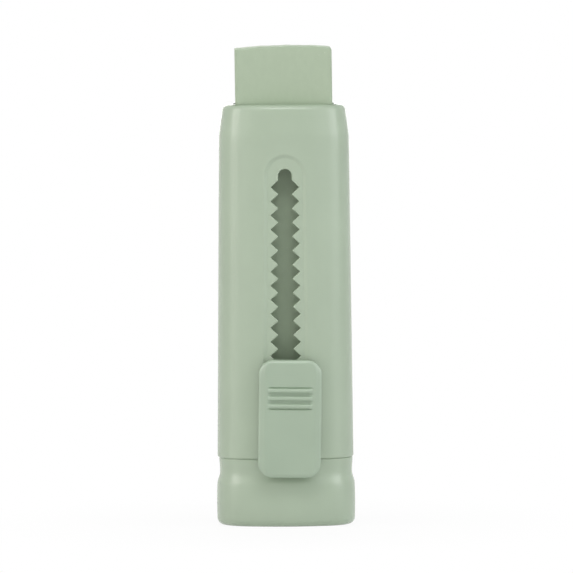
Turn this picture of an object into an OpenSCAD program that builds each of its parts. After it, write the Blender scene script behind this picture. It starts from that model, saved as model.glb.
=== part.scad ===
// Slide-out eraser stick: an oval plastic sleeve with a toothed slot, a snapped-in base cap,
// a thumb button, the carriage behind it, a click spring and the eraser block.
// Millimetres. Z is up, the stick stands on its base cap, and the slot and button face -Y.
// The origin is the middle of the flat face that it stands on.

/* [Body outline] */
// Height from the standing face to the mouth
body_h = 90; // [84:1:100]
// Width of the sleeve at the seam
body_w = 29.1; // [28.2:0.1:31]
// Thickness of the sleeve at the seam, front to back
body_t = 17.8; // [17.2:0.1:20]
// Radius of the crowned front and back faces
face_r = 30; // [26:1:60]
// Draft of the sleeve on each side, in degrees
draft = 0.55; // [0.3:0.05:0.6]
// Distance from the mouth down to the knee where the mouth tapers in
knee_drop = 6.5; // [5:0.5:9]
// Slope of the tapered mouth on each side, in degrees
mouth_taper = 8; // [4:0.5:9]
// Rounding of the mouth rim
rim_round = 1.2; // [0.6:0.1:1.4]

/* [Sleeve] */
// Wall of the sleeve at the knee, where it is thinnest
wall = 1.2; // [0.9:0.05:1.25]
// Length of the close-fitting throat below the mouth
throat_l = 6; // [4:0.5:7]
// Rounding of the sleeve's lower edge
edge_round = 0.4; // [0.2:0.1:0.6]

/* [Toothed slot] */
// Distance from the mouth down to the first pair of notches
first_notch_drop = 17.5; // [15:0.5:19]
// Spacing of the notches
pitch = 3; // [2.6:0.1:3.2]
// Clicks from the lowest place to the highest
clicks = 15; // [8:1:15]
// Width between the tooth tips at the top of the slot
tip_gap = 2.9; // [2.8:0.05:3.2]
// Depth of each notch behind the tooth tips
notch_depth = 1.5; // [1.3:0.1:1.7]
// Widening of the slot on each side towards the base, in degrees
slot_flare = 0.33; // [0:0.03:0.4]
// Straight slot between the first notch and the centre of the round top end
slot_lead = 2.45; // [2:0.05:3]

/* [Track round the slot] */
// Depth of the shallow track
track_depth = 0.45; // [0.2:0.05:0.6]
// Radius of the track's round upper end
track_r = 4.6; // [4:0.1:5]
// Radius of the track's round lower end
track_low_r = 5; // [4.4:0.1:5.2]
// Width of the sloping side of the track
track_slope = 0.9; // [0.4:0.1:1]

/* [Base cap] */
// Height of the base cap up to the seam
base_h = 14.4; // [12:0.2:15.4]
// How far the top edge of the base stands back from the sleeve
seam_in = 0.25; // [0.1:0.05:0.4]
// How far the waist under the seam stands back from the sleeve
waist_in = 0.4; // [0.2:0.05:0.6]
// How far the foot of the base stands out from the sleeve
foot_out = 0.25; // [0.1:0.01:0.6]
// Height at which the foot starts to draw in to the waist
foot_h = 8.6; // [7:0.1:9]
// Height of the curve from the foot to the waist
flare_h = 2.6; // [1.5:0.1:3]
// Rounding of the bottom edge
foot_round = 1.4; // [0.8:0.1:1.8]
// Thickness of the floor of the base cap
floor_t = 1.8; // [1.2:0.1:3]
// Wall of the base cap, measured in from the waist
cap_wall = 1.65; // [1.2:0.05:1.8]
// Height of the collar that plugs into the sleeve
collar_h = 3; // [2.4:0.1:3.2]
// Wall of the collar
collar_wall = 1.3; // [1:0.1:1.6]
// Depth of the thickened root of the collar below the seam
collar_root = 3; // [2:0.5:4]
// How far the collar's snap beads stand out
bead_out = 0.3; // [0.15:0.05:0.35]
// Length of each snap bead
bead_l = 9; // [5:0.5:10]

/* [Eraser] */
// Width of the eraser block
eraser_w = 20.6; // [18:0.1:20.9]
// Thickness of the eraser block
eraser_t = 8.4; // [7:0.1:8.5]
// How far the eraser stands out of the mouth with the button at its lowest place
eraser_out = 12.4; // [2:0.1:20]
// Rounding of the eraser's long edges
eraser_round = 0.5; // [0.3:0.1:1]
// Radius of the worn end
worn_r = 130; // [60:5:300]
// How far the crest of the worn end lies to the right
worn_shift = 2; // [-4:0.5:4]

/* [Carriage] */
// Height of the carriage
carriage_h = 16; // [14.5:0.5:18]
// Thickness of the carriage floor under the eraser
carriage_floor = 2.4; // [1.5:0.1:3]
// Depth of the ledge that the button's barbs catch behind
ledge_t = 1.3; // [1:0.1:1.6]

/* [Thumb button] */
// Width of the button
button_w = 13.4; // [11:0.1:15]
// Length of the button
button_l = 25.1; // [23:0.1:27]
// Height of the button's top end above the notch that its spring sits in
button_up = 8.35; // [6:0.05:9]
// How far the button's face stands in front of the sleeve at the seam
button_out = 3; // [2.4:0.1:4]
// Space between the button's back and the sleeve
button_gap = 0.4; // [0.3:0.05:0.8]
// Corner radius of the button
button_r = 3.1; // [2:0.1:4]
// Width of the rounding along the button's sides
side_round = 1.5; // [0.8:0.1:2]
// Width of the rounding at the button's ends
end_round = 0.8; // [0.5:0.1:1.5]
// Height of the rounding towards the button's face
round_h = 1.2; // [0.6:0.1:1.4]
// How far the button sits to the right of the slot
button_shift = 0.75; // [-1:0.05:1]
// How far the button's top end leans to the right, in degrees
button_turn = 0.9; // [-2:0.1:2]
// Number of grip ribs
ribs = 3; // [2:1:5]
// Spacing of the grip ribs
rib_pitch = 1.65; // [1.4:0.05:2]
// Width of a grip rib
rib_w = 0.8; // [0.5:0.05:1]
// Length of a grip rib
rib_l = 9; // [6:0.5:9.5]
// How far the grip ribs stand out of the button's face
rib_out = 0.35; // [0.2:0.05:0.6]
// How far the middle of the ribs lies above the notch that the spring sits in
rib_up = 0.4; // [-1:0.1:1]

/* [Neck and click spring] */
// Width of the two neck posts, which run between the tooth tips
neck_w = 2.3; // [1.6:0.1:2.4]
// Length of the upper neck post along the slot
upper_neck_l = 1.7; // [1.2:0.1:1.8]
// Length of the lower neck post along the slot
lower_neck_l = 2.4; // [1.6:0.1:3]
// How far each barb stands out from its post
barb_out = 0.5; // [0.3:0.05:0.6]
// Distance from the lugs down to the middle of the spring's bend
spring_l = 4.1; // [3.4:0.1:5]
// Thickness of the spring strip
spring_t = 0.4; // [0.25:0.05:0.5]
// Inner radius of the spring's bend
spring_r = 0.55; // [0.45:0.05:0.6]

/* [Fits] */
// Sliding gap between the carriage and the sleeve
slide_gap = 0.15; // [0.1:0.05:0.3]
// Gap round the eraser in the throat
throat_gap = 0.25; // [0.15:0.05:0.4]
// Gap round the eraser in the carriage
cup_gap = 0.05; // [0.02:0.01:0.1]
// Gap round the collar and its beads
snap_gap = 0.1; // [0.05:0.05:0.2]
// Gap between a neck post and its window
window_gap = 0.05; // [0.02:0.01:0.1]
// Gap between the click spring and the button and carriage
spring_gap = 0.1; // [0.05:0.05:0.2]
// Gap between the tips of the spring's lugs and the bottom of their notches
lug_gap = 0.35; // [0.2:0.05:0.8]
// Free space at each end stop
stop_gap = 0.25; // [0.15:0.05:0.5]

/* [Hidden] */
$fn = 64;
// Overlap of solids that are joined, and how far cutters reach past what they cut
eps = 0.01;
margin = 1;
sage = [0.69, 0.75, 0.67];
sage_button = [0.65, 0.72, 0.64];
sage_inner = [0.6, 0.67, 0.6];
sage_eraser = [0.68, 0.74, 0.64];
spring_tone = [0.83, 0.85, 0.8];

// The outline is an oval of four arcs: two wide faces, and two ends tangent to them.
end_r = (face_r * body_t - pow(body_w / 2, 2) - pow(body_t / 2, 2)) / (2 * face_r - body_w);
end_c = body_w / 2 - end_r;
face_c = face_r - body_t / 2;
meet = atan2(end_c, face_c);
face_steps = 10;
end_steps = 22;

// How far the knee is softened to each side, and how deep the beads are rooted in the collar
knee_soft = 0.5;
bead_root = 0.35;

// Heights
knee_z = body_h - knee_drop;
shoulder_z = body_h - throat_l;
first_notch_z = body_h - first_notch_drop;
lug_z = first_notch_z - clicks * pitch;
slot_top_z = first_notch_z + slot_lead;
lug_reach = notch_depth - lug_gap;
lug_rise = lug_reach * pitch / 2 / notch_depth;
spring_z = lug_z - spring_l;
upper_neck_z = lug_z + lug_rise + stop_gap;
lower_neck_z = spring_z - spring_r - spring_t - stop_gap - lower_neck_l;
slot_end_z = lower_neck_z - stop_gap + sqrt(pow(tip_x(lower_neck_z), 2) - pow(neck_w / 2, 2));
carriage_z = base_h + collar_h + stop_gap;
eraser_z = carriage_z + carriage_floor;
eraser_top = body_h + eraser_out;
button_mid = lug_z + button_up - button_l / 2;

// How far surfaces stand in from the sleeve's outline at the seam
knee_grow = -(knee_z - base_h) * tan(draft);
cavity_grow = knee_grow - wall;
collar_grow = cavity_grow - snap_gap;
carriage_grow = cavity_grow - slide_gap;
cup_w = eraser_w + 2 * cup_gap;
cup_t = eraser_t + 2 * cup_gap;

// Depths, as Y. The faces are crowned, so these hold on the middle line.
front_y = -body_t / 2;
carriage_y = front_y - carriage_grow;
barb_y = carriage_y + ledge_t;
cup_y = -cup_t / 2;
neck_end_y = cup_y - window_gap;
button_back_y = front_y - button_gap;
button_face_y = front_y - button_out;

// Arc through normals from angle t0 to t1, where 0 faces down and 90 right; its last point is left out
function arc(c, r, t0, t1, n) = [for (i = [0:n - 1]) let (t = t0 + (t1 - t0) * i / n)
    [c[0] + r * sin(t), c[1] - r * cos(t)]];

// The body's oval, moved outwards by grow all round
function oval(grow) = concat(
    arc([0, face_c], face_r + grow, -meet, meet, face_steps),
    arc([end_c, 0], end_r + grow, meet, 180 - meet, end_steps),
    arc([0, -face_c], face_r + grow, 180 - meet, 180 + meet, face_steps),
    arc([-end_c, 0], end_r + grow, 180 + meet, 360 - meet, end_steps));

// Half the slot's width between tooth tips, and at the bottom of the notches
function tip_x(z) = tip_gap / 2 + (slot_top_z - z) * tan(slot_flare);
function notch_x(z) = tip_x(z) + notch_depth;

// Offset of the sleeve's outside at a height, without its rounded edges
function sleeve_grow(z) = z < knee_z
    ? -(z - base_h) * tan(draft)
    : knee_grow - (z - knee_z) * tan(mouth_taper);

// Quarter-round from a flat end inwards, as [height from the end, inset] pairs
function quarter(r, n) = [for (i = [0:n]) [r * (1 - cos(90 * i / n)), r * (1 - sin(90 * i / n))]];

// A path and its mirror image, joined into one closed outline
function mirrored(path) = concat(path, [for (i = [len(path) - 1:-1:0]) [-path[i][0], path[i][1]]]);

sleeve_rings = concat(
    [for (q = quarter(edge_round, 4)) [base_h + q[0], sleeve_grow(base_h + q[0]) - q[1]]],
    [[knee_z - knee_soft, sleeve_grow(knee_z - knee_soft)],
        [knee_z, knee_grow - knee_soft * (tan(mouth_taper) - tan(draft)) / 4],
        [knee_z + knee_soft, sleeve_grow(knee_z + knee_soft)]],
    [for (i = [6:-1:0]) let (q = quarter(rim_round, 6)[i])
        [body_h - q[0], sleeve_grow(body_h - q[0]) - q[1]]]);

base_rings = concat(
    [for (q = quarter(foot_round, 8)) [q[0], foot_out - q[1]]],
    [for (i = [0:10]) [foot_h + flare_h * i / 10,
        foot_out - (foot_out + waist_in) * (1 - cos(18 * i)) / 2]],
    [[base_h, -seam_in]]);

// Solid skinned over ovals, each ring being [height, grow]
module loft(rings) {
    n = 2 * (face_steps + end_steps);
    top = len(rings) - 1;
    polyhedron(
        points = [for (g = rings) each [for (p = oval(g[1])) [p[0], p[1], g[0]]]],
        faces = concat(
            [[for (j = [0:n - 1]) j]],
            [for (i = [0:top - 1], j = [0:n - 1])
                [i * n + j, (i + 1) * n + j, (i + 1) * n + (j + 1) % n, i * n + (j + 1) % n]],
            [[for (j = [n - 1:-1:0]) top * n + j]]));
}

// Straight oval prism
module prism(grow, z0, z1) {
    translate([0, 0, z0]) linear_extrude(z1 - z0) polygon(oval(grow));
}

// Upright block with rounded long edges, centred on the axis
module block(w, t, r, z0, z1) {
    translate([0, 0, z0]) linear_extrude(z1 - z0) union() {
        square([w - 2 * r, t], center = true);
        square([w, t - 2 * r], center = true);
        for (x = [-1, 1], y = [-1, 1]) translate([x * (w / 2 - r), y * (t / 2 - r)]) circle(r);
    }
}

// Extrudes a front-view outline, drawn in X and Z, from depth y0 back to y1
module front_extrude(y0, y1) {
    translate([0, y1, 0]) rotate([90, 0, 0]) linear_extrude(y1 - y0) children();
}

// Extrudes a side-view outline, drawn in Y and Z, across a width
module side_extrude(w) {
    translate([-w / 2, 0, 0]) rotate([90, 0, 90]) linear_extrude(w) children();
}

// Front view of the toothed slot, with its round ends
module slot_outline() {
    lead_z = first_notch_z + pitch / 2;
    polygon(mirrored(concat(
        [[tip_x(slot_top_z), slot_top_z], [tip_x(lead_z), lead_z]],
        [for (k = [0:clicks]) let (z = first_notch_z - k * pitch) each
            [[notch_x(z), z], [tip_x(z - pitch / 2), z - pitch / 2]]],
        [[tip_x(slot_end_z), slot_end_z]])));
    translate([0, slot_top_z]) circle(tip_x(slot_top_z));
    translate([0, slot_end_z]) circle(tip_x(slot_end_z));
}

// Cutter for the track: a long round-ended pocket whose sides slope in to its floor
module track_cutter() {
    reach = track_depth + margin;
    hull() {
        for (e = [[slot_top_z, track_r - track_slope], [slot_end_z, track_low_r - track_slope]])
            translate([0, front_y - sleeve_grow(e[0]) + track_depth, e[0]]) rotate([90, 0, 0])
                cylinder(h = reach, r1 = e[1], r2 = e[1] + track_slope * reach / track_depth, $fn = 48);
    }
}

// The snap beads on the front and back of the collar, or their grooves in the sleeve
module beads(out, l) {
    for (side = [-1, 1])
        translate([0, side * (body_t / 2 + collar_grow - bead_root), base_h + collar_h / 2])
            rotate([0, 90, 0]) cylinder(h = l, r = bead_root + out, center = true);
}

// Sleeve: one tube, open below, with the throat, the toothed slot and its track
module sleeve() {
    color(sage) difference() {
        union() {
            difference() {
                loft(sleeve_rings);
                track_cutter();
            }
            loft([[base_h + edge_round, -edge_round - track_depth],
                [knee_z - margin, sleeve_grow(knee_z - margin) - track_depth]]);
        }
        prism(cavity_grow, base_h - eps, shoulder_z);
        block(eraser_w + 2 * throat_gap, eraser_t + 2 * throat_gap, eraser_round + throat_gap,
            shoulder_z - eps, body_h + eps);
        front_extrude(front_y - margin, carriage_y + margin) slot_outline();
        beads(bead_out + snap_gap, bead_l + 2 * snap_gap);
    }
}

// Base cap: a hollow foot with a waist, and the collar that snaps into the sleeve
module base_cap() {
    color(sage) difference() {
        union() {
            loft(base_rings);
            prism(collar_grow, base_h - margin, base_h + collar_h);
            beads(bead_out, bead_l);
        }
        prism(-waist_in - cap_wall, floor_t, base_h - collar_root);
        prism(collar_grow - collar_wall, base_h - collar_root - eps, base_h + collar_h + eps);
    }
}

// Carriage: the oval cup that slides in the sleeve and holds the eraser's lower end
module eraser_carriage() {
    color(sage_inner) difference() {
        prism(carriage_grow, carriage_z, carriage_z + carriage_h);
        block(cup_w, cup_t, eraser_round, eraser_z, carriage_z + carriage_h + eps);
        neck_window(upper_neck_z, upper_neck_l, 0);
        neck_window(lower_neck_z, lower_neck_l, barb_out + window_gap);
    }
}

// Window for one neck post, with room for its barb behind the ledge; drop is the room below the post
module neck_window(z, l, drop) {
    side_extrude(neck_w + 2 * window_gap) {
        translate([carriage_y - margin, z - window_gap])
            square([cup_y - carriage_y + margin + eps, l + 2 * window_gap]);
        translate([barb_y, z - window_gap - drop])
            square([cup_y - barb_y + eps, l + barb_out + 3 * window_gap]);
    }
}

// Neck post from its plain end at z, l long; way is 1 where its barb points up and -1 where it points down
module neck_post(z, l, way) {
    root_y = button_back_y - eps;
    catch_y = barb_y + window_gap;
    end_z = z + way * l;
    side_extrude(neck_w) polygon([[root_y, z], [neck_end_y, z], [neck_end_y, end_z],
        [catch_y, end_z + way * barb_out], [catch_y, end_z], [root_y, end_z]]);
}

// Eraser: a plain block with its far end worn to a shallow arch
module eraser_block() {
    color(sage_eraser) intersection() {
        block(eraser_w, eraser_t, eraser_round, eraser_z, eraser_top + margin);
        translate([worn_shift, 0, eraser_top - worn_r]) rotate([90, 0, 0])
            cylinder(h = 2 * eraser_t, r = worn_r, center = true, $fn = 360);
    }
}

// Click spring: a narrow hairpin whose two pointed lugs drop into each pair of notches
module click_spring() {
    leg_x = tip_x(lug_z);
    bend = [0, spring_z];
    color(spring_tone) front_extrude(button_back_y + spring_gap, carriage_y - spring_gap)
        polygon(mirrored(concat(
            arc(bend, spring_r + spring_t, 0, 90, 12),
            [[spring_r + spring_t, spring_z],
                [leg_x, lug_z - lug_rise], [leg_x + lug_reach, lug_z], [leg_x, lug_z + lug_rise],
                [leg_x - spring_t, lug_z + lug_rise]],
            arc(bend, spring_r, 90, 0, 12),
            [[0, spring_z - spring_r]])));
}

// Thumb button: the rounded cover with its grip ribs, the neck posts and the spring's peg
module thumb_button() {
    color(sage_button) {
        translate([button_shift, 0, button_mid]) rotate([0, button_turn, 0]) {
            button_cover();
            grip_ribs();
        }
        neck_post(upper_neck_z, upper_neck_l, 1);
        neck_post(lower_neck_z + lower_neck_l, lower_neck_l, -1);
        translate([0, carriage_y - spring_gap, spring_z]) rotate([90, 0, 0])
            cylinder(h = carriage_y - spring_gap - button_back_y + eps, r = spring_r - window_gap);
    }
}

// Cover, hulled over plates that shrink towards its face along a quarter of an ellipse
module button_cover() {
    plates = 6;
    hull() {
        button_plate(0, 0, button_face_y + round_h, button_back_y);
        for (i = [1:plates]) let (a = 90 * i / plates, y = button_face_y + round_h * (1 - sin(a)))
            button_plate(side_round * (1 - cos(a)), end_round * (1 - cos(a)), y, y + eps);
    }
}

// One plate of the cover, drawn in from its sides and ends
module button_plate(side_in, end_in, y_front, y_back) {
    w = button_w - 2 * side_in;
    l = button_l - 2 * end_in;
    r = button_r - (side_in + end_in) / 2;
    front_extrude(y_front, y_back)
        for (x = [-1, 1], z = [-1, 1]) translate([x * (w / 2 - r), z * (l / 2 - r)]) circle(r, $fn = 32);
}

// Grip ribs: rounded bars across the button, about level with the spring's lugs
module grip_ribs() {
    for (i = [0:ribs - 1])
        translate([0, button_face_y, lug_z + rib_up - button_mid + (i - (ribs - 1) / 2) * rib_pitch])
            rotate([0, 90, 0]) scale([rib_w / 2, rib_out, 1]) cylinder(h = rib_l, r = 1, center = true);
}

sleeve();
base_cap();
eraser_carriage();
eraser_block();
click_spring();
thumb_button();
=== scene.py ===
import math

import bmesh
import bpy
import numpy as np
from mathutils import Matrix, Vector


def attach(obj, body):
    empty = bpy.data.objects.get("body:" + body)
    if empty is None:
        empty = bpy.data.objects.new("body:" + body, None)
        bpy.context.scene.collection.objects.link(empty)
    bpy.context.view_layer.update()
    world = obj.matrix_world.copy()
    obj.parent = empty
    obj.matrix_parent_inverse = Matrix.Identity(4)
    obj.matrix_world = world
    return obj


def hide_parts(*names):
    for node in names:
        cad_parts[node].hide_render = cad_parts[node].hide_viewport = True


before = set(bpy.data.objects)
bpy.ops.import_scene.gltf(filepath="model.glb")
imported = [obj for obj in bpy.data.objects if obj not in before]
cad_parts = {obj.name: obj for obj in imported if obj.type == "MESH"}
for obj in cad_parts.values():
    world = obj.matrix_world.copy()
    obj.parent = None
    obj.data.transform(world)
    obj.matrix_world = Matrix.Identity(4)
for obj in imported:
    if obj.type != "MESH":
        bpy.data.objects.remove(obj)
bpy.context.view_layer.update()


# ------------------------------------------------------------------ sleeve
# The outer tube, injection moulded in one go from sage green polypropylene. Its core pulls out
# downwards, so it has draft all the way, and the tapered mouth, the toothed slot and the shallow
# track round the slot come straight from the mould.

# Sizes are in millimetres, as in the CAD: Z is up from the table, and the slot faces -Y.
HEIGHT, WIDTH, DEPTH, FACE_R = 90.0, 29.1, 17.8, 30.0
SEAM, KNEE, KNEE_EASE, WALL = 14.4, 83.5, 0.12, 1.2
DRAFT, TAPER = math.tan(math.radians(0.55)), math.tan(math.radians(8))
EDGE_ROUND, RIM_ROUND = 0.5, 1.2
THROAT_W, THROAT_T, THROAT_R, THROAT_ROUND, SHOULDER = 21.3, 8.9, 0.75, 0.25, 84.0

# The outline's end and face arcs, the turn at which they meet, and the cavity's offset from them
END_R = (FACE_R * DEPTH - (WIDTH / 2) ** 2 - (DEPTH / 2) ** 2) / (2 * FACE_R - WIDTH)
END_C, FACE_C = WIDTH / 2 - END_R, FACE_R - DEPTH / 2
MEET = math.atan2(END_C, FACE_C)
CAVITY = -(KNEE - SEAM) * DRAFT - WALL

# The slot, half its width at the top, with the round tips and notches of its teeth and the plain
# side below them. A sharp corner lies SHARPER radii beyond the round one.
TIP, NOTCH_DEPTH, PITCH, NOTCHES, SHARPER = 1.45, 1.5, 3.0, 16, 0.4
FIRST_NOTCH, SLOT_TOP, SLOT_END = 72.5, 74.95, 20.89
BELOW_TEETH, PLAIN_SIDE = 0.6, np.array([24.2, 23.1, 22.0])
SLOT_FLARE = math.tan(math.radians(0.33))
TIP_ROUND, NOTCH_ROUND, LIP_ROUND = 0.24, 0.16, 0.2

# The track, and the panel of the front that holds it
TRACK_R, TRACK_LOW_R, TRACK_SLOPE, TRACK_DEPTH, TRACK_EASE = 4.6, 5.0, 0.9, 0.45, 0.12
PANEL_HALF, PANEL_TOP, PANEL_LOW = 6.2, 81.15, 15.3
PANEL_TURN = math.asin(PANEL_HALF / FACE_R)

# Where rings lie: from the knee up, in the throat, and just above the rounded lower edge
KNEE_RINGS = np.array([-1.3, -0.6, -0.3, -0.1, 0.1, 0.3, 0.6, 1.3, 2.5, 3.9])
THROAT_RING, EDGE_RING = 87.5, 15.05

SAGE, SATIN = (0.434, 0.532, 0.402), 0.26
PLASTIC_IOR, PLASTIC_SHINE, GLOSS_DRIFT, TONES = 1.49, 0.7, 0.012, (0.975, 1.02)
SHARP = math.radians(40)


def eased(d, ease):
    """d where it is well above 0, and 0 where it is well below: 0.5 (d + sqrt(d^2 + ease))."""
    return 0.5 * (d + np.sqrt(d ** 2 + ease))


def smooth(t):
    """Ease from 0 to 1: 3 t^2 - 2 t^3."""
    t = np.clip(t, 0, 1)
    return t * t * (3 - 2 * t)


def unit(angle):
    """The direction (cos, sin) of an angle."""
    return np.stack([np.cos(angle), np.sin(angle)], -1)


def rounding(points):
    """A quarter round of radius 1 in equal turns: 1 - cos, which rises from 0 to 1, and 1 - sin,
    which falls from 1 to 0."""
    turn = np.radians(np.linspace(0, 90, points))
    return 1 - np.cos(turn), 1 - np.sin(turn)


def sleeve_grow(z):
    """Offset of the outside from the oval at the seam: the draft, and the mouth's steeper taper
    eased in from the knee up."""
    return -(z - SEAM) * DRAFT - eased(z - KNEE, KNEE_EASE) * (TAPER - DRAFT)


def oval(turn, grow):
    """The body's outline, four tangent arcs moved out by grow. turn is the direction of the
    outward normal, from -Y towards +X: point = centre + (radius + grow) (sin turn, -cos turn)."""
    t = np.mod(turn + MEET, 2 * np.pi) - MEET
    parts = [t <= MEET, t < np.pi - MEET, t <= np.pi + MEET]
    cx = np.select(parts, [0, END_C, 0], -END_C)
    cy = np.select(parts, [FACE_C, 0, -FACE_C], 0)
    r = np.select(parts, [FACE_R, END_R, FACE_R], END_R) + grow
    return cx + r * np.sin(t), cy - r * np.cos(t)


def front(x, grow):
    """Depth of the crowned front face at x: y = centre - sqrt(r^2 - x^2)."""
    return FACE_C - np.sqrt((FACE_R + grow) ** 2 - x ** 2)


def ring(turn, z, grow):
    """Points of the oval at one height, or of many heights at once as rows."""
    z, grow = np.broadcast_arrays(np.atleast_1d(z), grow)
    x, y = oval(turn, grow[:, None])
    return np.stack([x, y, np.broadcast_to(z[:, None], x.shape)], -1)


def piece(name, sheets, material):
    """Joins sheets into one mesh. A sheet is a grid of points in millimetres, rows by columns,
    and whether its last column meets its first. Doubles are merged, so rims and poles close, and
    faces that meet at more than SHARP keep a hard edge between them."""
    points, quads, start = [], [], 0
    for grid, closed in sheets:
        rows, columns = grid.shape[:2]
        index = np.arange(rows * columns).reshape(rows, columns) + start
        if closed:
            index = np.hstack([index, index[:, :1]])
        corners = [index[:-1, :-1], index[:-1, 1:], index[1:, 1:], index[1:, :-1]]
        quads.append(np.stack(corners, -1).reshape(-1, 4))
        points.append(grid.reshape(-1, 3))
        start += rows * columns
    mesh = bpy.data.meshes.new(name)
    mesh.from_pydata((np.concatenate(points) / 1000).tolist(), [], np.concatenate(quads).tolist())
    edit = bmesh.new()
    edit.from_mesh(mesh)
    bmesh.ops.remove_doubles(edit, verts=edit.verts, dist=1e-6)
    bmesh.ops.recalc_face_normals(edit, faces=edit.faces)
    edit.to_mesh(mesh)
    edit.free()
    mesh.polygons.foreach_set("use_smooth", np.ones(len(mesh.polygons), dtype=bool))
    mesh.set_sharp_from_angle(angle=SHARP)
    mesh.materials.append(material)
    made = bpy.data.objects.new(name, mesh)
    bpy.context.collection.objects.link(made)
    return made


def start_material(name):
    """A new material with its node tree, its shader and its Object coordinates, in metres."""
    material = bpy.data.materials.new(name)
    material.use_nodes = True
    tree = material.node_tree
    place = tree.nodes.new("ShaderNodeTexCoord").outputs["Object"]
    return material, tree, tree.nodes["Principled BSDF"], place


def add_noise(tree, place, scale, detail, roughness=0.5, upward=1):
    """Noise over a place. An upward scale below 1 draws it out along Z."""
    if upward != 1:
        stretch = tree.nodes.new("ShaderNodeMapping")
        stretch.inputs["Scale"].default_value = (1, 1, upward)
        tree.links.new(place, stretch.inputs["Vector"])
        place = stretch.outputs["Vector"]
    noise = tree.nodes.new("ShaderNodeTexNoise")
    noise.inputs["Scale"].default_value = scale
    noise.inputs["Detail"].default_value = detail
    noise.inputs["Roughness"].default_value = roughness
    tree.links.new(place, noise.inputs["Vector"])
    return noise.outputs["Fac"]


def add_range(tree, value, span, result):
    """A value that goes over a span, carried to a result that goes over another."""
    carry = tree.nodes.new("ShaderNodeMapRange")
    carry.inputs["From Min"].default_value, carry.inputs["From Max"].default_value = span
    carry.inputs["To Min"].default_value, carry.inputs["To Max"].default_value = result
    tree.links.new(value, carry.inputs["Value"])
    return carry.outputs["Result"]


def add_tones(tree, pattern, span, colour):
    """The colour from a little darker to a little lighter, as the pattern goes over a span."""
    tone = tree.nodes.new("ShaderNodeValToRGB")
    for end, position, share in zip(tone.color_ramp.elements, span, TONES):
        end.position = position
        end.color = (*[c * share for c in colour], 1)
    tree.links.new(pattern, tone.inputs["Fac"])
    return tone.outputs["Color"]


def add_relief(tree, pattern, strength, depth, skin):
    """A bump on the shader from the pattern, its depth in millimetres."""
    relief = tree.nodes.new("ShaderNodeBump")
    relief.inputs["Strength"].default_value = strength
    relief.inputs["Distance"].default_value = depth / 1000
    tree.links.new(pattern, relief.inputs["Height"])
    tree.links.new(relief.outputs["Normal"], skin.inputs["Normal"])


def moulded_plastic(name, colour, roughness, grain=0.03):
    """Satin moulded plastic: a faintly cloudy colour, a gloss that changes in long soft streaks
    up the draw, and the fine spark-eroded grain of the mould as relief."""
    material, tree, skin, place = start_material(name)
    cloud = add_noise(tree, place, scale=90, detail=3)
    tree.links.new(add_tones(tree, cloud, (0.3, 0.7), colour), skin.inputs["Base Color"])
    streak = add_noise(tree, place, scale=1400, detail=2, upward=0.06)
    gloss = add_range(tree, streak, (0, 1), (roughness - GLOSS_DRIFT, roughness + GLOSS_DRIFT))
    tree.links.new(gloss, skin.inputs["Roughness"])
    speck = add_noise(tree, place, scale=5200, detail=2)
    add_relief(tree, speck, 0.5, grain, skin)
    skin.inputs["IOR"].default_value = PLASTIC_IOR
    skin.inputs["Specular IOR Level"].default_value = PLASTIC_SHINE
    return material


# Columns round the tube, a quarter at a time: PANEL of them in front of the slot, set so that
# their rays from its round top fan out evenly, then the rest of the face, and the end arc. A
# column's step is its number in the quarter, and its signs say which way X and Y go there.
PANEL_SHARES = np.array([0, 0.132, 0.268, 0.414, 0.577, 0.767, 1.0])
quarter = np.concatenate([
    np.arcsin(PANEL_HALF / FACE_R * PANEL_SHARES),
    np.linspace(PANEL_TURN, MEET, 4)[1:],
    np.linspace(MEET, np.pi / 2, 21)[1:]])
PANEL, LAST = len(PANEL_SHARES) - 1, len(quarter) - 1
round_turn = np.concatenate([quarter, np.pi - quarter[-2::-1],
                             np.pi + quarter[1:], 2 * np.pi - quarter[-2:0:-1]])
step = np.concatenate([np.arange(LAST + 1), np.arange(LAST - 1, -1, -1),
                       np.arange(1, LAST + 1), np.arange(LAST - 1, 0, -1)])
sign_x = np.where(np.sin(round_turn) >= -1e-9, 1.0, -1.0)
sign_y = np.where(np.cos(round_turn) >= -1e-9, -1.0, 1.0)


def throat_ring(grow, z, wide=17, corner=8):
    """The throat, a rounded rectangle moved out by grow, with a point for each column of the tube.
    In each quarter, wide steps run along its long side, corner steps go round its corner, and
    the rest go up its short side."""
    r, core_x, core_y = THROAT_R + grow, THROAT_W / 2 - THROAT_R, THROAT_T / 2 - THROAT_R
    x0, number = oval(quarter, CAVITY)[0], np.arange(LAST + 1)
    along = np.clip(x0 / x0[wide], 0, 1) * core_x
    bend = np.clip((number - wide) / corner, 0, 1) * np.pi / 2
    up = np.clip((number - wide - corner) / (LAST - wide - corner), 0, 1) * core_y
    x = (along + r * np.sin(bend))[step] * sign_x
    y = (core_y - up + r * np.cos(bend))[step] * sign_y
    return np.stack([x, y, np.full_like(x, z)], -1)[None]


def tip_x(z):
    """Half the slot's width between its tooth tips. It widens downwards."""
    return TIP + (SLOT_TOP - z) * SLOT_FLARE


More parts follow.
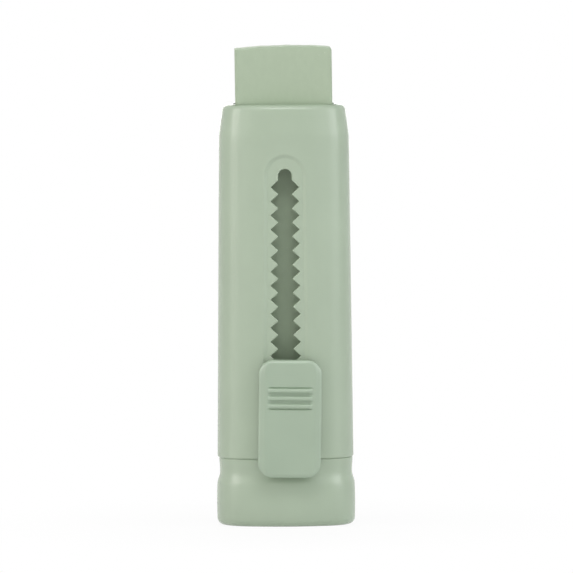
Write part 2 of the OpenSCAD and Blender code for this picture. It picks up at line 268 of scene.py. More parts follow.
def slot_side():
    """The slot's toothed right side, from its round top down to its round lower end: points, the
    directions from them into the plastic, and the heights that their rows run out to. Corners are
    arcs: about corner + bulge / cos(half the turn) along the middle direction lie the points
    centre - bulge (cos n, sin n), as n turns from one flank's normal to the next."""
    corner_z = FIRST_NOTCH + PITCH / 2 * np.arange(1, -2 * NOTCHES, -1)
    is_tip = np.arange(len(corner_z)) % 2 == 0
    bulge = np.where(is_tip, TIP_ROUND, -NOTCH_ROUND)
    corner_x = tip_x(corner_z) + np.where(is_tip, 0, NOTCH_DEPTH) - SHARPER * bulge
    corner_x[[0, -1]] = tip_x(corner_z[[0, -1]])
    path_x = np.concatenate([[tip_x(SLOT_TOP)], corner_x, [tip_x(SLOT_END)]])
    path_z = np.concatenate([[SLOT_TOP], corner_z, [SLOT_END]])
    flank = np.arctan2(np.diff(path_x), -np.diff(path_z))
    before, after = flank[:-1], flank[1:]
    reach = bulge / np.cos((after - before) / 2)
    centre = np.column_stack([corner_x, corner_z]) + reach[:, None] * unit((before + after) / 2)
    normal = before[:, None] + (after - before)[:, None] * np.linspace(0, 1, 5)
    arcs = centre[:, None] - bulge[:, None, None] * unit(normal)
    between = np.vstack([(arcs[:-1, -1] + arcs[1:, 0]) / 2, arcs[-1, -1] - [0, BELOW_TEETH]])
    toothed = np.concatenate([arcs, between[:, None]], 1).reshape(-1, 2)
    plain = np.column_stack([tip_x(PLAIN_SIDE), PLAIN_SIDE])
    way = np.column_stack([normal, after]).reshape(-1)
    row_z = (corner_z[:, None] + PITCH / 12 * np.arange(2, -4, -1)).reshape(-1)
    return (np.vstack([[tip_x(SLOT_TOP), SLOT_TOP], toothed, plain]),
            np.concatenate([[0], way, np.zeros(len(plain))]),
            np.concatenate([[SLOT_TOP], row_z, PLAIN_SIDE]))


def panel_x(turn, grow):
    """How far out the column with that normal lies on the face."""
    return (FACE_R + grow) * np.sin(turn)


def round_end(centre_z, border_z, side_z):
    """Rays from the centre of a round end of the slot to the panel's top or bottom border and then
    along its side: border points, points on the round end, directions and columns."""
    z = np.concatenate([np.full(PANEL + 1, border_z), side_z])
    turn = np.concatenate([quarter[:PANEL + 1], np.full(len(side_z), PANEL_TURN)])
    border = np.column_stack([panel_x(turn, sleeve_grow(z)), z])
    way = np.arctan2(z - centre_z, border[:, 0])
    return border, [0, centre_z] + tip_x(centre_z) * unit(way), way, turn


def from_axis(point):
    """Distance from the slot's middle line, or past its ends from the centre of its round end."""
    x, z = point.T
    return np.hypot(x, z - np.clip(z, SLOT_END, SLOT_TOP))


def track_front(x, z, off, track_r):
    """The front with the track pressed into it: full depth inside, eased up across its slope."""
    pressed = smooth(((track_r - off) / TRACK_SLOPE + TRACK_EASE) / (1 + 2 * TRACK_EASE))
    return front(x, sleeve_grow(z)) + TRACK_DEPTH * pressed


def slot_panel():
    """The panel round the slot: rings from its border in across the track, over the lip, through
    the wall and out again along the cavity. The left half mirrors the right. Also gives the
    heights down the panel's side, where the strips round the back meet it."""
    top = round_end(SLOT_TOP, PANEL_TOP, np.linspace(PANEL_TOP, SLOT_TOP, 6)[1:-1])
    low = round_end(SLOT_END, PANEL_LOW, np.linspace(PANEL_LOW, SLOT_END, 5)[1:])
    side_edge, side_way, side_z = slot_side()
    side_border = np.column_stack([panel_x(PANEL_TURN, sleeve_grow(side_z)), side_z])
    side = side_border, side_edge, side_way, np.full(len(side_z), PANEL_TURN)
    border, edge, way, turn = (np.concatenate([a, b, c[::-1]]) for a, b, c in zip(top, side, low))
    track_r = np.interp(border[:, 1], [SLOT_END, SLOT_TOP], [TRACK_LOW_R, TRACK_R])

    rows, into = [], unit(way)
    for inward, below in zip(*rounding(7)):
        x, z = (edge + into * LIP_ROUND * inward).T
        rows.append([x, track_front(x, z, 0, track_r) + LIP_ROUND * below, z])
    lip = edge + into * LIP_ROUND
    lip_off, border_off = from_axis(lip), from_axis(border)
    slope_foot = track_r - (1 + TRACK_EASE) * TRACK_SLOPE
    slope_head = track_r + TRACK_EASE * TRACK_SLOPE
    offs = [lip_off + (slope_foot - lip_off) * f for f in (0.12, 0.4, 0.7)]
    offs += [slope_foot + (slope_head - slope_foot) * f for f in np.linspace(0, 1, 10)]
    offs += [slope_head + (border_off - slope_head) * f for f in (0.35, 1.0)]
    for off in offs:
        share = (off - lip_off) / (border_off - lip_off)
        x, z = (lip + (border - lip) * share[:, None]).T
        rows.append([x, track_front(x, z, off, track_r), z])
    rows = rows[::-1]

    edge_x, edge_z = edge.T
    wall_y, cavity_y = rows[-1][1], front(edge_x, CAVITY)
    rows += [[edge_x, wall_y + (cavity_y - wall_y) * f, edge_z] for f in (0.33, 0.67, 1.0)]
    for f in (0.15, 0.5, 1.0):
        x = edge_x + (panel_x(turn, CAVITY) - edge_x) * f
        rows.append([x, front(x, CAVITY), edge_z + (border[:, 1] - edge_z) * f])
    half = np.transpose(rows, (0, 2, 1))
    mirror = half[:, -2:0:-1] * [-1, 1, 1]
    return np.concatenate([half, mirror], 1), border[PANEL:len(border) - PANEL, 1]


# The rest of the tube: a strip round the back between the panel's sides, and whole rings above
# and below the panel, which run over the rim, down the throat, past the shoulder and the cavity.
panel, strip_z = slot_panel()
strip_turn = round_turn[PANEL:len(round_turn) - PANEL + 1]
outer_strip = ring(strip_turn, strip_z, sleeve_grow(strip_z))
inner_strip = ring(strip_turn, strip_z, CAVITY)

rim_in, rim_down = rounding(9)
rim_z = HEIGHT - RIM_ROUND * rim_down
knee_z = np.concatenate([[PANEL_TOP], KNEE + KNEE_RINGS])
mouth_rings = np.concatenate([
    ring(round_turn, knee_z, sleeve_grow(knee_z)),
    ring(round_turn, rim_z, sleeve_grow(rim_z) - RIM_ROUND * rim_in),
    *[throat_ring(THROAT_ROUND * out, HEIGHT - THROAT_ROUND * down)
      for out, down in zip(rim_down[::2], rim_in[::2])],
    throat_ring(0, THROAT_RING),
    throat_ring(0, SHOULDER),
    ring(round_turn, SHOULDER, CAVITY),
    ring(round_turn, PANEL_TOP, CAVITY)])

edge_up, edge_in = (part[::-1] for part in rounding(6))
foot_rings = np.concatenate([
    ring(round_turn, PANEL_LOW, sleeve_grow(PANEL_LOW)),
    ring(round_turn, EDGE_RING, sleeve_grow(EDGE_RING)),
    ring(round_turn, SEAM + EDGE_ROUND * edge_up, -EDGE_ROUND * edge_in),
    ring(round_turn, SEAM, CAVITY),
    ring(round_turn, PANEL_LOW, CAVITY)])

body_plastic = moulded_plastic("sage body plastic", SAGE, SATIN)
sleeve = piece("sleeve_shell", [(panel, True), (outer_strip, False), (inner_strip, False),
                                (mouth_rings, True), (foot_rings, True)], body_plastic)
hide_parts("sleeve")
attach(sleeve, "housing")


# ---------------------------------------------------------------- base cap
# The foot that the stick stands on: a hollow cap moulded from the same plastic, drawn in to a
# waist under the seam. Its collar plugs into the sleeve and snaps home in the factory.

# Heights up the outside, and how far it stands in there from the widest part of the foot
CAP_PROFILE = np.array([
    (1.5, 0.06), (4.0, 0), (6.4, 0.01), (8.0, 0.05), (8.9, 0.1), (9.3, 0.155), (9.75, 0.285),
    (10.2, 0.44), (10.6, 0.56), (11.1, 0.635), (11.8, 0.655), (12.6, 0.625), (13.5, 0.55),
    (14.25, 0.51)])
FOOT_OUT, FOOT_ROUND, SEAM_ROUND, CAP_SHIFT = 0.235, 1.4, 0.15, 0.09
FLOOR_T, CAP_INSIDE = 1.8, -2.0
COLLAR, COLLAR_WALL, COLLAR_EDGE, COLLAR_TOP, COLLAR_ROOT = CAVITY - 0.1, 1.3, 0.3, 17.4, 11.4


def rounded_curve(z, knots):
    """Cubic through knots with slopes from the neighbouring knots, so it has no corners:
    Hermite blend of both ends' values and slopes in every span."""
    at, value = knots.T
    slope = np.gradient(value, at)
    i = np.clip(np.searchsorted(at, z) - 1, 0, len(at) - 2)
    span = at[i + 1] - at[i]
    t = (z - at[i]) / span
    return ((1 + 2 * t) * (1 - t) ** 2 * value[i] + t * (1 - t) ** 2 * span * slope[i]
            + t * t * (3 - 2 * t) * value[i + 1] - t * t * (1 - t) * span * slope[i + 1])


def cap_sheet():
    """Rings from the middle of the underside round the foot and up the outside to the seam, up
    the collar, and down the inside to the middle of the floor. The outside sits a hair to the
    right of the sleeve, and its rings are closest at the waist."""
    foot_z, foot_in = CAP_PROFILE[0]
    seam_z, seam_in = CAP_PROFILE[-1]
    cap_z = np.concatenate([np.linspace(foot_z, 7, 8)[1:], np.linspace(7.3, 12.4, 26),
                            np.linspace(12.8, seam_z, 5)])
    foot_up, foot_side = rounding(12)
    seam_side, seam_down = rounding(5)
    seam_grow = FOOT_OUT - seam_in - SEAM_ROUND * seam_side
    ground = ring(round_turn, 0, FOOT_OUT - foot_in - FOOT_ROUND)
    outside = np.concatenate([
        *[ground * [s, s, 1] for s in (0.0, 0.35, 0.7)],
        ring(round_turn, foot_z * foot_up, FOOT_OUT - foot_in - FOOT_ROUND * foot_side),
        ring(round_turn, cap_z, FOOT_OUT - rounded_curve(cap_z, CAP_PROFILE)),
        ring(round_turn, SEAM - SEAM_ROUND * seam_down, seam_grow)])
    collar = np.array([
        (SEAM, COLLAR), (COLLAR_TOP - COLLAR_EDGE, COLLAR), (COLLAR_TOP, COLLAR - COLLAR_EDGE),
        (COLLAR_TOP, COLLAR - COLLAR_WALL), (COLLAR_ROOT, COLLAR - COLLAR_WALL),
        (COLLAR_ROOT, CAP_INSIDE), (FLOOR_T, CAP_INSIDE)])
    floor = ring(round_turn, FLOOR_T, CAP_INSIDE)
    return np.concatenate([outside + [CAP_SHIFT, 0, 0], ring(round_turn, *collar.T),
                           *[floor * [s, s, 1] for s in (0.6, 0.0)]])


base_cap = piece("base_cap_shell", [(cap_sheet(), True)], body_plastic)
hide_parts("base_cap")
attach(base_cap, "housing")


# ---------------------------------------------------------- eraser carriage
# The oval cup behind the slot that the eraser's lower end is pushed into. It is moulded in the
# same sage, a little darker and rougher as nobody sees it, and the button's barbs clip into it.

SAGE_INNER = (0.36, 0.44, 0.34)
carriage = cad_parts["eraser_carriage"]
carriage.data.materials.clear()
carriage.data.materials.append(moulded_plastic("carriage plastic", SAGE_INNER, 0.5, 0.05))


# ------------------------------------------------------------- click spring
# A narrow hairpin of springy off-white acetal, standing on a peg of the button. Its two pointed
# lugs drop into each pair of notches and give the click. The slot narrows upwards, so the legs
# are slim enough to clear its teeth at the top pair as well.

SPRING_Z, SPRING_R, SPRING_T, SPRING_SPLAY = 23.4, 0.55, 0.4, 0.17
SPRING_FRONT, SPRING_BACK, LEG_MOST, LEG_TOP = -9.2, -7.0, 1.39, 25.7
LUG_Z, LUG_RISE, LUG_FALL, LUG_APEX, LUG_ROUND = 27.5, 1.15, 1.5, 2.873, 0.08
ACETAL = (0.66, 0.69, 0.62)


def spring_leg(z):
    """Outer and inner edge of a leg as points: it splays out to a limit, and the lug's flanks
    stand on it at 45 degrees, apex - sqrt(d^2 + round^2), d being the height from the lug."""
    leg = np.minimum(SPRING_R + SPRING_T + SPRING_SPLAY * (z - SPRING_Z), LEG_MOST)
    lug = LUG_APEX - np.sqrt((z - LUG_Z) ** 2 + LUG_ROUND ** 2)
    return np.column_stack([np.maximum(leg, lug), z]), np.column_stack([leg - SPRING_T, z])


def hairpin_sheet():
    """The strip's section, a rectangle with broken edges, carried down one leg, round under the
    peg and up the other leg, and drawn together to a point at both ends."""
    leg_z = np.concatenate([LUG_Z + np.linspace(LUG_RISE, -LUG_FALL, 27),
                            np.linspace(LEG_TOP, SPRING_Z, 6)])
    leg_out, leg_in = spring_leg(leg_z)
    under = unit(np.radians(np.linspace(0, -180, 19)[1:-1]))
    outer, inner = (
        np.concatenate([leg, [0, SPRING_Z] + radius * under, leg[::-1] * [-1, 1]])
        for leg, radius in ((leg_out, SPRING_R + SPRING_T), (leg_in, SPRING_R)))
    (x, z), (half_x, half_z) = (outer + inner).T / 2, (outer - inner).T / 2
    y, half_y = (SPRING_FRONT + SPRING_BACK) / 2, (SPRING_BACK - SPRING_FRONT) / 2
    half_section = np.array([(1, -0.94), (1, 0.94), (0.8, 1), (-0.8, 1)])
    rows = np.stack([
        np.column_stack([x + half_x * u, np.full(len(x), y + half_y * w), z + half_z * u])
        for u, w in np.concatenate([half_section, -half_section])], 1)
    caps = np.repeat(rows[[0, -1]].mean(1, keepdims=True), rows.shape[1], 1)
    return np.concatenate([caps[:1], rows, caps[1:]])


spring = piece("click_hairpin", [(hairpin_sheet(), True)],
               moulded_plastic("spring acetal", ACETAL, 0.3, 0.01))
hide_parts("click_spring")
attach(spring, "slider")


# ------------------------------------------------------------- eraser block
# The sage vinyl eraser, cut from an extruded bar, so its long edges are barely rounded. Rubbing
# has worn its end to a shallow arch and rounded the corner on the right.

ERASER_W, ERASER_T, ERASER_R, LOW_ROUND = 20.6, 8.4, 0.5, 0.3
ERASER_LOW, ERASER_TOP, WORN_R, WORN_X = 20.05, 102.4, 130.0, 2.0
DROOP, DROOP_FROM, DROOP_RUN, SCALLOP = 0.12, 7.2, 3.2, 0.05
EDGE_LEFT, EDGE_ACROSS, EDGE_RIGHT = 0.2, 0.42, 0.62
LEFT_TO, LEFT_RUN, RIGHT_FROM, RIGHT_RUN = -10, 0.8, 8.6, 1.8
LEAN, LEAN_Z, LEAN_EASE = 0.0105, 89, 4
VINYL, DUST, DUST_MOST = (0.455, 0.552, 0.41), (0.75, 0.78, 0.72), 0.35


def rounded_outline(w, h, r, wide, tall, corner):
    """Points round a rectangle with round corners, counter-clockwise from the right side's lower
    end: steps along each side given as fractions of it, then a quarter circle at each corner."""
    centres = np.array([(1, -1), (1, 1), (-1, 1), (-1, -1), (1, -1)]) * [w / 2 - r, h / 2 - r]
    points = []
    for k in range(4):
        along = np.asarray(wide if k % 2 else tall)[:, None]
        turns = np.linspace(0, np.pi / 2, corner + 1)[:-1]
        out = r * unit(k * np.pi / 2 + turns)
        side = centres[k] + (centres[k + 1] - centres[k]) * along
        points += [side + out[0], centres[k + 1] + out[1:]]
    return np.concatenate(points).T


def worn_end(x, y):
    """Height of the worn end: an arc of radius R about its crest, drooping more by the left
    corner, with shallow uneven scallops from rubbing."""
    arch = ERASER_TOP - (WORN_R - np.sqrt(WORN_R ** 2 - (x - WORN_X) ** 2))
    droop = DROOP * np.clip((-x - DROOP_FROM) / DROOP_RUN, 0, 1) ** 2
    scallops = (0.03 * np.sin(1.1 * x + 0.7) + 0.02 * np.sin(2.3 * x - 1.7 * y)
                + 0.015 * np.sin(0.9 * y + 4))
    return arch - droop + scallops - SCALLOP


def bent(x, y, z):
    """Points of the bar. Rubbing has bent its soft end a hair to the left: x less LEAN of the
    height over the throat, eased in."""
    return np.stack([x - LEAN * eased(z - LEAN_Z, LEAN_EASE), y, z], -1)


def eraser_sheet():
    """Rows from the middle line of the hidden end out to its edge, up the walls, over the worn
    edge, which is tight on the left and full on the right, and in to the middle line of the end."""
    bar_x, bar_y = rounded_outline(ERASER_W, ERASER_T, ERASER_R,
                                   np.linspace(0, 1, 61), np.linspace(0, 1, 25), 8)
    spine = (ERASER_W - ERASER_T) / 2
    spine_x = np.clip(bar_x, -spine, spine)
    inset = np.hypot(bar_x - spine_x, bar_y)
    edge_r = (EDGE_LEFT + (EDGE_ACROSS - EDGE_LEFT) * smooth((bar_x - LEFT_TO) / LEFT_RUN)
              + (EDGE_RIGHT - EDGE_ACROSS) * smooth((bar_x - RIGHT_FROM) / RIGHT_RUN))

    def across(f):
        """Points at a share f of the way from the bar's outline to its middle line."""
        return bar_x + (spine_x - bar_x) * f, bar_y * (1 - f)

    def end_row(f, below):
        """A row of the worn end, that far below it."""
        x, y = across(f)
        return bent(x, y, worn_end(x, y) - below)

    over = [end_row(edge_r * inward / inset, edge_r * below) for inward, below in zip(*rounding(8))]
    over += [end_row(np.maximum(f, edge_r / inset), 0)
             for f in (0.16, 0.28, 0.42, 0.58, 0.74, 0.88, 1.0)]
    wall_low, wall_high = ERASER_LOW + LOW_ROUND, over[0][:, 2]
    wall = [bent(bar_x, bar_y, wall_low + (wall_high - wall_low) * f)
            for f in np.concatenate([[0], 0.004 * np.arange(1, 4), np.linspace(0.03, 1, 28)])]
    hidden = []
    for inward, up in ((ERASER_T / 2, 0), (ERASER_T / 4, 0), (LOW_ROUND, 0),
                       (LOW_ROUND / 3, LOW_ROUND / 3)):
        x, y = across(inward / (ERASER_T / 2))
        hidden.append(np.stack([x, y, np.full_like(x, ERASER_LOW + up)], -1))
    return np.stack(hidden + wall + over[1:])


def vinyl(name, colour):
    """Soft matt vinyl: chalky, hardly any gloss, with fine pores, faint rubbed smears across it
    and a few pale crumbs of dust."""
    material, tree, skin, place = start_material(name)
    smear = add_noise(tree, place, scale=900, detail=5, roughness=0.6, upward=0.6)
    crumb = add_noise(tree, place, scale=2600, detail=1)
    dusted = tree.nodes.new("ShaderNodeMix")
    dusted.data_type = "RGBA"
    share, clean, dust, result = *(dusted.inputs[i] for i in (0, 6, 7)), dusted.outputs[2]
    dust.default_value = (*DUST, 1)
    tree.links.new(add_range(tree, crumb, (0.7, 0.78), (0, DUST_MOST)), share)
    tree.links.new(add_tones(tree, smear, (0.25, 0.75), colour), clean)
    tree.links.new(result, skin.inputs["Base Color"])
    skin.inputs["Roughness"].default_value = 0.72
    skin.inputs["Specular IOR Level"].default_value = 0.35
    add_relief(tree, smear, 0.6, 0.03, skin)
    return material


eraser = piece("eraser_bar", [(eraser_sheet(), True)], vinyl("sage vinyl", VINYL))
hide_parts("eraser_block")
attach(eraser, "slider")


# ------------------------------------------------------------- thumb button
# The slider that the thumb pushes, moulded in one piece: a rounded cover with soft bands down its
# sides and three grip ribs, two barbed posts that reach through the slot, and the spring's peg.

BUTTON_W, BUTTON_L, BUTTON_R, BUTTON_MID = 13.4, 25.1, 3.1, 23.3
BUTTON_BACK, BUTTON_FACE, RIM_DEPTHS = -9.3, -11.9, (-9.9, -10.5)
BACK_EDGE_IN, BACK_EDGE_UP = 0.15, 0.12
BUTTON_SHIFT, BUTTON_LEAN = 0.75, math.radians(0.9)

# The cover's edge from the rim in: an elliptic rounding, a chamfer, and the band, whose width and
# fall grow from the ends to the sides across a mitre at the corners
COVER_RIM, COVER_ROUND = 0.16, 0.3
CHAMFER, CHAMFER_FALL, CHAMFER_POWER = 0.5, 0.3, 1.3
BAND_START, BAND_END, BAND_SIDE, FALL_END, FALL_SIDE = 0.15, 0.9, 1.55, 0.15, 0.39
MITRE, MITRE_HALF = 0.92, 0.12

# The ribs, and the shallow field that they stand in
RIB_MIDDLE, RIB_PITCH, RIB_HALF, RIB_POWER, RIB_OUT = 27.7 - BUTTON_MID, 1.65, 0.5, 2.4, 0.38
RIB_REACH, RIB_FADE, RIB_ZONE = 4.9, 0.9, 2.6
FIELD_HALF, FIELD_EDGE, FIELD_SUNK = 2.2, 0.3, 0.26

# Rows of the cover follow its rim up to FLAT_FROM, and go on straight across to the middle line
FLAT_FROM, MIDDLE_HALF = 1.7, 9.7

# Neck posts and peg: where they are rooted, where a barb catches, and how deep they reach
ROOT, CATCH, POST_TIP, POST_HALF, BARB_OUT = BUTTON_BACK - 0.3, -5.537, -4.3, 1.15, 0.5
PEG_R, PEG_EDGE, PEG_SIDES = 0.5, 0.06, 32
SAGE_BUTTON = (0.405, 0.512, 0.388)


def cover_fall(x, v, edge):
    """How far the cover's surface lies behind its face, edge being the distance in from the rim:
    the rounding, the chamfer and the band, then the ribs, whose section is
    (1 - |t|^p)^(1/p), in their sunk field. Ribs and field rise from nothing at their ends."""
    mitre = np.abs(x) / (BUTTON_W / 2) - np.abs(v) / (BUTTON_L / 2) * MITRE
    sideways = smooth((mitre + MITRE_HALF) / (2 * MITRE_HALF))
    band = BAND_END + (BAND_SIDE - BAND_END) * sideways
    fall = FALL_END + (FALL_SIDE - FALL_END) * sideways
    fall = fall * (1 - smooth((edge - BAND_START) / (band - BAND_START)))
    fall = fall + CHAMFER_FALL * (1 - np.clip(edge / CHAMFER, 0, 1)) ** CHAMFER_POWER
    fall = fall + COVER_ROUND * (1 - np.sqrt(1 - (1 - np.clip(edge / COVER_RIM, 0, 1)) ** 2))
    off = v - RIB_MIDDLE
    ribs = sum(np.clip(1 - np.abs((off - k * RIB_PITCH) / RIB_HALF) ** RIB_POWER, 0, 1)
               ** (1 / RIB_POWER) for k in (-1, 0, 1))
    field = 1 - smooth((np.abs(off) - FIELD_HALF) / FIELD_EDGE)
    grip = FIELD_SUNK * field - (RIB_OUT + FIELD_SUNK) * ribs
    return fall + grip * smooth((RIB_REACH - np.abs(x)) / RIB_FADE)


def cover_outline():
    """The cover's rim as x and v, with close steps beside the ribs, and its outward directions.
    The left side runs down, so its steps are the right side's in reverse: each height has one
    point on either side of the cover, and the rows between them are level with the ribs."""
    straight = BUTTON_L - 2 * BUTTON_R
    zone = (RIB_MIDDLE + np.linspace(-RIB_ZONE, RIB_ZONE, 105)) / straight + 0.5
    tall = np.concatenate([np.linspace(0, zone[0], 20)[:-1], zone,
                           np.linspace(zone[-1], 1, 12)[1:]])
    x, v = rounded_outline(BUTTON_W, BUTTON_L, BUTTON_R, np.linspace(0, 1, 15), tall, 12)
    v[x < -BUTTON_W / 2 + 1e-6] = v[x > BUTTON_W / 2 - 1e-6][::-1]
    out_x, out_v = ((part - np.clip(part, BUTTON_R - size / 2, size / 2 - BUTTON_R)) / BUTTON_R
                    for part, size in ((x, BUTTON_W), (v, BUTTON_L)))
    return x, v, out_x, out_v


rim_x, rim_v, rim_out_x, rim_out_v = cover_outline()


def cover_row(inset, share=0.0, depth=None):
    """A ring of the cover: its outline moved in by inset, then a share of the way straight across
    to the middle line, on the cover's surface or at a given depth. It is turned by the cover's
    lean, and moved to the cover's place on the stick."""
    x, v = rim_x - rim_out_x * inset, rim_v - rim_out_v * inset
    x, v = x * (1 - share), v + (np.clip(v, -MIDDLE_HALF, MIDDLE_HALF) - v) * share
    if depth is None:
        core_x, core_v = BUTTON_W / 2 - BUTTON_R - np.abs(x), BUTTON_L / 2 - BUTTON_R - np.abs(v)
        beyond = np.hypot(np.minimum(core_x, 0), np.minimum(core_v, 0))
        edge = BUTTON_R - beyond + np.maximum(np.minimum(core_x, core_v), 0)
        depth = BUTTON_FACE + cover_fall(x, v, np.maximum(edge, inset))
    c, s = math.cos(BUTTON_LEAN), math.sin(BUTTON_LEAN)
    return np.stack([BUTTON_SHIFT + x * c + v * s, np.broadcast_to(depth, x.shape),
                     BUTTON_MID + v * c - x * s], -1)


def cover_sheet():
    """Rows from the middle line of the back out to the rim, forward along it, and over the face
    to its middle line."""
    rim_steps = np.concatenate([COVER_RIM * rounding(7)[0], np.linspace(0.23, 0.51, 5),
                                np.linspace(0.65, FLAT_FROM, 9)])
    across_steps = np.concatenate([np.linspace(0.03, 0.27, 9), np.linspace(0.35, 1, 7)])
    back = [cover_row(FLAT_FROM, share, BUTTON_BACK) for share in (1.0, 0.5)]
    back += [cover_row(BACK_EDGE_IN, 0, BUTTON_BACK)]
    side = [cover_row(0, 0, depth) for depth in (BUTTON_BACK + BACK_EDGE_UP, *RIM_DEPTHS)]
    face = [cover_row(inset) for inset in rim_steps]
    face += [cover_row(FLAT_FROM, share) for share in across_steps]
    return np.stack(back + side + face)


def post_sheet(z, length, up):
    """A neck post from its plain end at z. Its side view, a bar from the cover to the carriage
    with its barb hooked past the ledge, is carried across its width with its edges broken: rows
    from the middle of one cap to the middle of the other."""
    top = z + up * length
    corners = np.array([[ROOT, z], [POST_TIP, z], [POST_TIP, top], [CATCH, top + up * BARB_OUT],
                        [CATCH, top], [ROOT, top]])
    following = np.roll(corners, -1, 0)
    outline = np.concatenate([corners * (1 - s) + following * s for s in (0.03, 0.97)], 1)
    outline = outline.reshape(-1, 2)
    rows = []
    for along, drawn in ((0, 1), (0, 0.06), (0.02, 0), (0.98, 0), (1, 0.06), (1, 1)):
        section = outline * (1 - drawn) + outline.mean(0) * drawn
        x = POST_HALF * (2 * along - 1)
        rows.append(np.column_stack([np.full(len(section), x), section]))
    return np.stack(rows)


def peg_sheet():
    """The spring's peg: rings from the middle of its root to the middle of its broken tip."""
    around = unit(np.linspace(0, 2 * np.pi, PEG_SIDES + 1)[:-1])
    rings = ((0, ROOT), (PEG_R, ROOT), (PEG_R, SPRING_BACK - PEG_EDGE),
             (PEG_R - PEG_EDGE, SPRING_BACK), (0, SPRING_BACK))
    return np.stack([np.column_stack([r * around[:, 0], np.full(PEG_SIDES, y),
                                      SPRING_Z + r * around[:, 1]]) for r, y in rings])


button = piece("thumb_button_moulding",
               [(cover_sheet(), True), (post_sheet(28.9, 1.7, 1), True),
                (post_sheet(22.2, 2.4, -1), True), (peg_sheet(), True)],
               moulded_plastic("sage button plastic", SAGE_BUTTON, SATIN))
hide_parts("thumb_button")
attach(button, "slider")


# ------------------------------------------------------------ studio and camera
# The stick stands on a pale table in a white room. Tall soft strips and boxes light it from both
# sides and from behind, large boxes from above, and low cards throw light up from the table. The
# camera looks at it from slightly above and far off. Here sizes are in metres.

AIM, AWAY = (0.00039, 0, 0.05084), 2.1
AZIMUTH, ELEVATION, ROLL = (math.radians(angle) for angle in (-1.221, 3.78, -0.291))
SENSOR, FOCAL_PIXELS, FRAME_PIXELS = 36, 9824, 573
LIGHT_AWAY, LIGHT_UP, LIGHT_TALL = 0.8, 0.37, 0.72
WARM, COOL = (1, 0.965, 0.94), (0.985, 1, 1)
ROOM_LIGHT, SHADOW_SPAN, SHADOW_WHITE = 0.06, (0.015, 0.07), (0.93, 1)
TABLE_GREY, TABLE_ROUGH, TABLE_DROP = (0.86, 0.86, 0.86), 0.9, 0.00002
TABLE_REACHES, TABLE_SIDES = (6.0, 2.0, 0.5, 0.0), 96

scene = bpy.context.scene
scene.view_settings.view_transform = "Standard"


def camera_place():
    """The camera's axes and place: it stands AWAY from AIM along back, which is
    (sin a cos e, -cos a cos e, sin e), and its right and up are turned about back by the roll."""
    back = np.array([math.sin(AZIMUTH) * math.cos(ELEVATION),
                     -math.cos(AZIMUTH) * math.cos(ELEVATION), math.sin(ELEVATION)])
    level = np.array([math.cos(AZIMUTH), math.sin(AZIMUTH), 0])
    rise = np.cross(back, level)
    right = math.cos(ROLL) * level + math.sin(ROLL) * rise
    up = math.cos(ROLL) * rise - math.sin(ROLL) * level
    axes = np.column_stack([right, up, back, np.array(AIM) + AWAY * back])
    return Matrix([*axes.tolist(), [0, 0, 0, 1]])


camera = bpy.data.objects.new("camera", bpy.data.cameras.new("camera"))
scene.collection.objects.link(camera)
camera.matrix_world = camera_place()
camera.data.sensor_width = SENSOR
camera.data.lens = SENSOR * FOCAL_PIXELS / FRAME_PIXELS
camera.data.clip_start, camera.data.clip_end = 0.1, 30
scene.camera = camera


def soft_light(name, place, size, power, colour=(1, 1, 1), target=(0, 0, 0.05)):
    """A soft box, unseen by the camera: its -Z axis points from its place at the target."""
    data = bpy.data.lights.new(name, "AREA")
    data.shape, data.size, data.size_y = "RECTANGLE", *size
    data.energy, data.color = power, colour
    light = bpy.data.objects.new(name, data)
    light.location = place
    light.rotation_euler = (Vector(target) - Vector(place)).to_track_quat("-Z", "Y").to_euler()
    light.visible_camera = False
    scene.collection.objects.link(light)


for light_name, bearing, width, power, colour in (
        ("left far strip", -75, 0.2, 1.6, WARM), ("left strip", -59, 0.18, 1.3, WARM),
        ("left box", -38, 0.2, 0.45, WARM),
        ("right far strip", 75, 0.2, 1.4, COOL), ("right strip", 59, 0.18, 1.2, COOL),
        ("right box", 38, 0.2, 0.5, COOL),
        ("left back box", -171, 0.3, 1.5, WARM), ("right back box", 171, 0.3, 1.5, COOL)):
    side_x, side_y = math.sin(math.radians(bearing)), -math.cos(math.radians(bearing))
    soft_light(light_name, (LIGHT_AWAY * side_x, LIGHT_AWAY * side_y, LIGHT_UP),
               (width, LIGHT_TALL), power, colour)
soft_light("high front box", (0, -0.5, 0.9), (0.6, 0.25), 2.4)
soft_light("overhead", (0, -0.05, 1.0), (0.8, 0.8), 1.0)
soft_light("front fill", (0, -1.2, 0.25), (0.25, 0.5), 0.1)
soft_light("table card", (0, -0.5, 0.012), (0.9, 0.5), 0.8, target=(0, -0.5, 1))
soft_light("near card", (0, -0.07, 0.002), (0.5, 0.12), 0.02, target=(0, -0.07, 1))


def add_math(tree, operation, one, other):
    """Two values put together by a Math node."""
    put = tree.nodes.new("ShaderNodeMath")
    put.operation = operation
    tree.links.new(one, put.inputs[0])
    tree.links.new(other, put.inputs[1])
    return put.outputs["Value"]


def add_mix(tree, share, plain, white):
    """The plain shader, and the white one as share goes to 1."""
    mix = tree.nodes.new("ShaderNodeMixShader")
    for value, socket in zip((share, plain, white), mix.inputs):
        tree.links.new(value, socket)
    return mix.outputs["Shader"]


def seen_directly(tree):
    """1 for rays from the camera, and for those that a glossy or clear surface sends on."""
    path = tree.nodes.new("ShaderNodeLightPath").outputs
    total = path["Is Camera Ray"]
    for kind in ("Is Glossy Ray", "Is Transmission Ray"):
        total = add_math(tree, "MAXIMUM", total, path[kind])
    return total


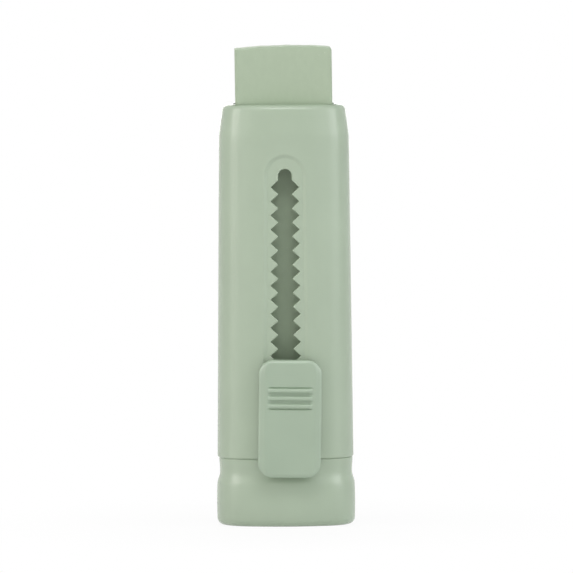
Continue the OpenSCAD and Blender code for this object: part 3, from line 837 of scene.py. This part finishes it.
def white_room():
    """White where it is seen, and a faint even light on what stands in it."""
    world = bpy.data.worlds.new("white room")
    world.use_nodes = True
    tree = world.node_tree
    room, white = tree.nodes["Background"], tree.nodes.new("ShaderNodeBackground")
    for background, strength in ((room, ROOM_LIGHT), (white, 1.0)):
        background.inputs["Color"].default_value = (1, 1, 1, 1)
        background.inputs["Strength"].default_value = strength
    plain, bright = (background.outputs["Background"] for background in (room, white))
    seen = add_mix(tree, seen_directly(tree), plain, bright)
    tree.links.new(seen, tree.nodes["World Output"].inputs["Surface"])
    return world


def white_table():
    """Matt pale paint that keeps the stick's shadow near it, and is plain white further off."""
    material, tree, matt, place = start_material("white table")
    matt.inputs["Base Color"].default_value = (*TABLE_GREY, 1)
    matt.inputs["Roughness"].default_value = TABLE_ROUGH
    glow = tree.nodes.new("ShaderNodeEmission")
    glow.inputs["Strength"].default_value = 1.0
    far = tree.nodes.new("ShaderNodeVectorMath")
    far.operation = "LENGTH"
    tree.links.new(place, far.inputs[0])
    fade = add_range(tree, far.outputs["Value"], SHADOW_SPAN, SHADOW_WHITE)
    share = add_math(tree, "MULTIPLY", fade, seen_directly(tree))
    surface = add_mix(tree, share, matt.outputs["BSDF"], glow.outputs["Emission"])
    tree.links.new(surface, tree.nodes["Material Output"].inputs["Surface"])
    return material


def table_top(material):
    """A flat disc just under the stick, facing up: rings of points from its rim to its middle."""
    around = unit(np.linspace(0, 2 * np.pi, TABLE_SIDES + 1)[:-1])
    points = [np.column_stack([reach * around, np.full(TABLE_SIDES, -TABLE_DROP)])
              for reach in TABLE_REACHES]
    index = np.arange(len(points) * TABLE_SIDES).reshape(-1, TABLE_SIDES)
    following = np.roll(index, -1, 1)
    faces = np.stack([index[:-1], following[:-1], following[1:], index[1:]], -1).reshape(-1, 4)
    mesh = bpy.data.meshes.new("table")
    mesh.from_pydata(np.concatenate(points).tolist(), [], faces.tolist())
    mesh.materials.append(material)
    made = bpy.data.objects.new("table", mesh)
    scene.collection.objects.link(made)
    return made


scene.world = white_room()
table = table_top(white_table())
